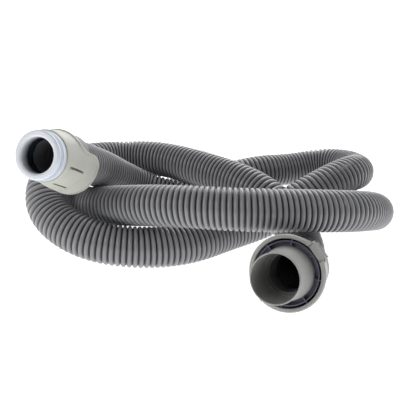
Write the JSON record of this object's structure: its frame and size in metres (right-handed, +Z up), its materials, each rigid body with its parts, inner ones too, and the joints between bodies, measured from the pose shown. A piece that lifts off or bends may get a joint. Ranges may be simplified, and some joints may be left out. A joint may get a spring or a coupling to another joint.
{
  "type": "corrugated suction hose with swivel couplings",
  "caption": "Flexible corrugated suction hose in loose loops, with a swivelling latch coupling for the cleaner and a swivelling handle coupling with a release button.",
  "frame": {"origin": "on the floor, under the centre of the object's bounding box", "axes": "+Z up from the floor the hose lies on; +X to the right and +Y away from someone who stands in front of the open ends of both couplings; the loops are longest along X"},
  "size_m": [0.3665, 0.3176, 0.1414],
  "materials": {
    "hose_plastic": "satin mid-grey flexible plastic, corrugated",
    "cuff_plastic": "smooth mid-grey moulded plastic",
    "nozzle_plastic": "smooth white plastic with a cool tint",
    "collar_plastic": "fine-grained warm light-grey moulded plastic",
    "spigot_plastic": "smooth satin grey plastic",
    "rib_plastic": "dark blue-grey moulded plastic",
    "bearing_plastic": "natural white slippery plastic",
    "seal_rubber": "black rubber",
    "spring_steel": "plain spring steel"
  },
  "bodies": {
    "hose_and_cuffs": {"hose": "hose_plastic", "handle_cuff": "cuff_plastic", "handle_hose_gasket": "seal_rubber", "handle_bearing_ring": "bearing_plastic", "handle_swivel_seal": "seal_rubber", "cleaner_cuff": "cuff_plastic", "cleaner_hose_gasket": "seal_rubber", "cleaner_bearing_ring": "bearing_plastic", "cleaner_swivel_seal": "seal_rubber"},
    "handle_head": {"handle_nozzle": "nozzle_plastic", "handle_nozzle_seal": "seal_rubber", "handle_collar": "collar_plastic", "handle_snap_ring": "spring_steel", "handle_release_spring": "spring_steel"},
    "release_button": {"handle_release_button": "collar_plastic"},
    "cleaner_head": {"cleaner_spigot": "spigot_plastic", "cleaner_rib_ring": "rib_plastic", "cleaner_collar": "collar_plastic", "cleaner_snap_ring": "spring_steel", "cleaner_latch_pins": "spring_steel", "cleaner_upper_latch_spring": "spring_steel", "cleaner_lower_latch_spring": "spring_steel"},
    "latch_upper": {"cleaner_latch_upper": "collar_plastic"},
    "latch_lower": {"cleaner_latch_lower": "collar_plastic"}
  },
  "joints": [
    {"name": "handle_swivel", "type": "hinge", "parent": "hose_and_cuffs", "child": "handle_head", "pos_m": [-0.13728, -0.05287, 0.11289], "axis": [-0.2734, -0.9055, 0.3246], "continuous": true},
    {"name": "handle_release", "type": "slide", "parent": "handle_head", "child": "release_button", "axis": [-0.6106, 0.4241, 0.6688], "range_m": [0, 0.0008], "stiffness_N_per_m": 800, "springref_m": -0.001},
    {"name": "cleaner_swivel", "type": "hinge", "parent": "hose_and_cuffs", "child": "cleaner_head", "pos_m": [0.05944, -0.10724, 0.03352], "axis": [-0.4134, -0.8531, 0.3183], "continuous": true},
    {"name": "latch_upper_press", "type": "hinge", "parent": "cleaner_head", "child": "latch_upper", "pos_m": [0.07796, -0.11538, 0.0546], "axis": [-0.5382, 0.5109, 0.6703], "range_deg": [0, 5], "stiffness_Nm_per_rad": 0.5, "springref_deg": -5.16},
    {"name": "latch_lower_press", "type": "hinge", "parent": "cleaner_head", "child": "latch_lower", "pos_m": [0.03595, -0.10933, 0.01626], "axis": [0.5382, -0.5109, -0.6703], "range_deg": [0, 5], "stiffness_Nm_per_rad": 0.5, "springref_deg": -5.16}
  ]
}
